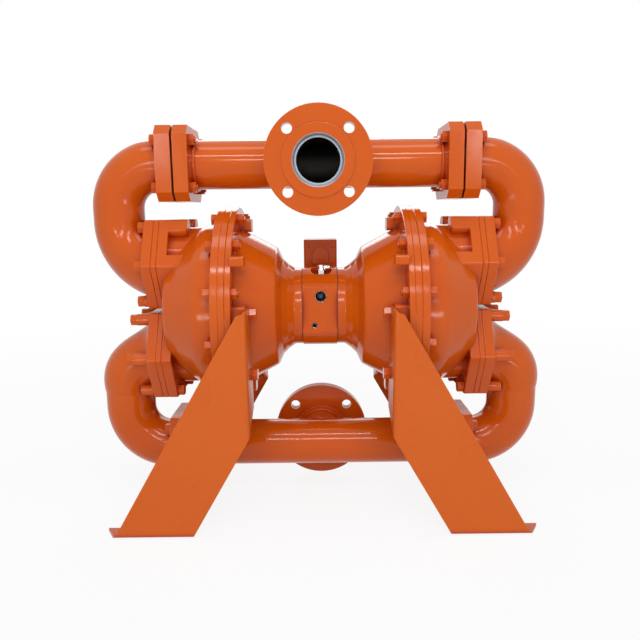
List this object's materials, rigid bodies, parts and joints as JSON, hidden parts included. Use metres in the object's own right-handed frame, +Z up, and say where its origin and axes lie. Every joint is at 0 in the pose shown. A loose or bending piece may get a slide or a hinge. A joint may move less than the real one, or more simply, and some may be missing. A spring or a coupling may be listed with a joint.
{
  "type": "air operated diaphragm pump",
  "caption": "Metal double diaphragm pump with flap check valves, hexagonal ports, looped elbows, flanged header pipes and bent plate legs.",
  "frame": {"origin": "centre of the footprint on the floor the feet stand on", "axes": "+X along the diaphragm rod towards the right-hand chamber, +Y to the rear (suction flange side), +Z up"},
  "size_m": [0.8548, 0.412, 0.7393],
  "materials": {
    "painted_iron": "glossy orange enamel over cast iron",
    "painted_steel": "glossy orange enamel over steel",
    "painted_fastener": "zinc plated fastener under the same enamel",
    "bare_steel": "bare turned steel",
    "plated_brass": "nickel plated fitting",
    "bronze": "bearing bronze",
    "rubber": "black moulded rubber",
    "painted_rubber": "rubber with an orange painted edge",
    "gasket": "compressed sheet gasket"
  },
  "bodies": {
    "pump_casing": {"centre_block": "painted_iron", "breather_fitting": "plated_brass", "rod_seals": "rubber", "pilot_sleeve": "bare_steel", "air_valve_body": "painted_iron", "air_valve_sleeve": "bare_steel", "air_valve_top_cap": "painted_iron", "air_valve_bottom_cap": "painted_iron", "air_valve_gasket": "gasket", "air_valve_screws": "painted_fastener", "air_valve_cap_screws": "painted_fastener", "block_gaskets": "gasket", "block_screws": "bare_steel", "discharge_pipe": "painted_steel", "suction_pipe": "painted_steel", "discharge_flange": "painted_steel", "suction_flange": "painted_steel", "flap_pins": "bare_steel", "manifold_gaskets": "gasket", "manifold_bolts": "painted_fastener", "manifold_nuts": "painted_fastener", "chamber_bolts": "painted_fastener", "chamber_nuts": "painted_fastener", "port_bolts": "painted_fastener", "leg_bolts": "painted_fastener", "left_inner_chamber": "painted_iron", "left_outer_chamber": "painted_iron", "left_diaphragm": "painted_rubber", "left_rod_bushing": "bronze", "left_discharge_end_plate": "painted_steel", "left_suction_end_plate": "painted_steel", "left_discharge_elbow": "painted_iron", "left_suction_elbow": "painted_iron", "left_discharge_seat": "painted_iron", "left_suction_seat": "painted_iron", "left_front_leg": "painted_steel", "left_rear_leg": "painted_steel", "right_inner_chamber": "painted_iron", "right_outer_chamber": "painted_iron", "right_diaphragm": "painted_rubber", "right_rod_bushing": "bronze", "right_discharge_end_plate": "painted_steel", "right_suction_end_plate": "painted_steel", "right_discharge_elbow": "painted_iron", "right_suction_elbow": "painted_iron", "right_discharge_seat": "painted_iron", "right_suction_seat": "painted_iron", "right_front_leg": "painted_steel", "right_rear_leg": "painted_steel"},
    "rod_assembly": {"diaphragm_rod": "bare_steel", "left_inner_plate": "bare_steel", "left_outer_plate": "bare_steel", "right_inner_plate": "bare_steel", "right_outer_plate": "bare_steel"},
    "pilot_valve_spool": {"pilot_spool": "bare_steel"},
    "main_air_spool": {"air_valve_spool": "bare_steel"},
    "left_discharge_flap_body": {"left_discharge_flap": "rubber"},
    "left_suction_flap_body": {"left_suction_flap": "rubber"},
    "right_discharge_flap_body": {"right_discharge_flap": "rubber"},
    "right_suction_flap_body": {"right_suction_flap": "rubber"}
  },
  "joints": [
    {"name": "rod_stroke", "type": "slide", "parent": "pump_casing", "child": "rod_assembly", "axis": [1, 0, 0], "range_m": [-0.028, 0.028], "deforming": ["left_diaphragm", "right_diaphragm"]},
    {"name": "pilot_shift", "type": "slide", "parent": "pump_casing", "child": "pilot_valve_spool", "axis": [1, 0, 0], "range_m": [-0.005, 0.005]},
    {"name": "air_spool_shift", "type": "slide", "parent": "pump_casing", "child": "main_air_spool", "axis": [0, 0, 1], "range_m": [0, 0.018]},
    {"name": "left_discharge_flap_swing", "type": "hinge", "parent": "pump_casing", "child": "left_discharge_flap_body", "pos_m": [-0.3085, 0, 0.5035], "axis": [0, 1, 0], "range_deg": [0, 35]},
    {"name": "left_suction_flap_swing", "type": "hinge", "parent": "pump_casing", "child": "left_suction_flap_body", "pos_m": [-0.2855, 0, 0.3315], "axis": [0, -1, 0], "range_deg": [0, 35]},
    {"name": "right_discharge_flap_swing", "type": "hinge", "parent": "pump_casing", "child": "right_discharge_flap_body", "pos_m": [0.3085, 0, 0.5035], "axis": [0, -1, 0], "range_deg": [0, 35]},
    {"name": "right_suction_flap_swing", "type": "hinge", "parent": "pump_casing", "child": "right_suction_flap_body", "pos_m": [0.2855, 0, 0.3315], "axis": [0, 1, 0], "range_deg": [0, 35]}
  ],
  "couplings": [
    {"joint": "pilot_shift", "follows": "rod_stroke", "ratio": 0.178}
  ]
}
